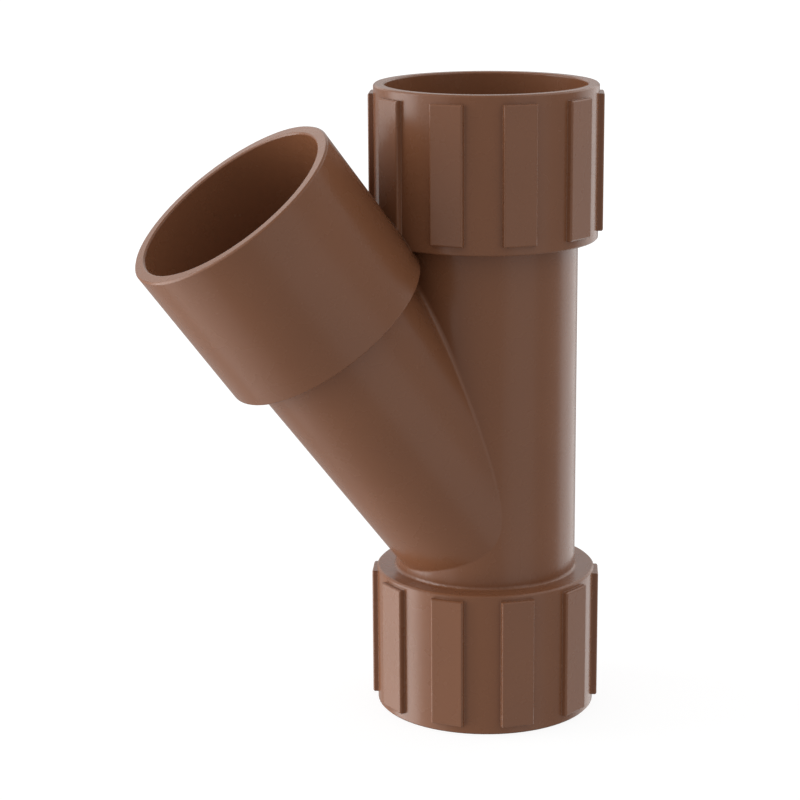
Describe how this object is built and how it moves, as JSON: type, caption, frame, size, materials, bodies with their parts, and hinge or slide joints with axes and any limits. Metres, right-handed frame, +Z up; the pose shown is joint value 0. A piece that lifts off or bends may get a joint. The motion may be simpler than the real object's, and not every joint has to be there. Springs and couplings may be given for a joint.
{
  "type": "lateral wye pipe fitting",
  "caption": "Plastic lateral wye with a plain branch socket leaning off a straight run, and raised grip pads round both run collars.",
  "frame": {"origin": "centre of the lower socket's mouth, on the run's axis", "axes": "+Z up along the run's axis, +X to the side that the branch leans to, in the plane of the run and the branch"},
  "size_m": [0.1193, 0.0584, 0.16],
  "materials": {
    "moulded_plastic": "satin, rigid PVC as moulded"
  },
  "bodies": {
    "root": {"wye_body": "moulded_plastic"}
  },
  "joints": []
}
